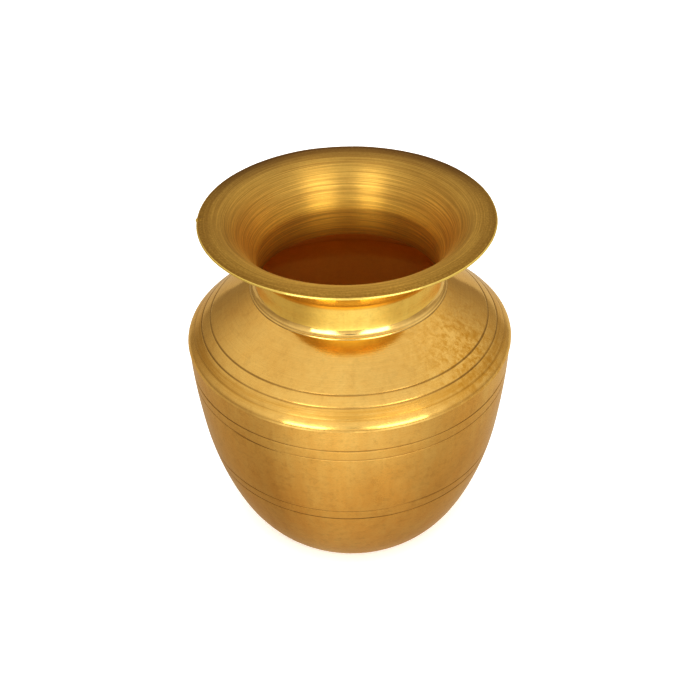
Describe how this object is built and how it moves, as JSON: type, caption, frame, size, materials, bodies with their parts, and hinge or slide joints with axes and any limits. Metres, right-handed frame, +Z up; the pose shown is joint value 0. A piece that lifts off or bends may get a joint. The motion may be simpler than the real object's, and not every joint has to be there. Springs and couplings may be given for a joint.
{
  "type": "kalash pot",
  "caption": "Round brass water pot with a wide flared mouth, short neck, conical shoulder and a belly that tapers to a flat base.",
  "frame": {"origin": "centre of the flat base, on the surface it stands on", "axes": "+Z up along the pot's axis of revolution, out of the mouth"},
  "size_m": [0.1082, 0.1082, 0.1187],
  "materials": {
    "mouth_brass": "turned satin",
    "braze_metal": "satin",
    "shoulder_brass": "polished",
    "inner_braze": "as brazed",
    "belly_brass": "polished"
  },
  "bodies": {
    "root": {"mouth_flare": "mouth_brass", "neck_braze": "braze_metal", "shoulder": "shoulder_brass", "waist_braze": "inner_braze", "belly_bowl": "belly_brass"}
  },
  "joints": []
}
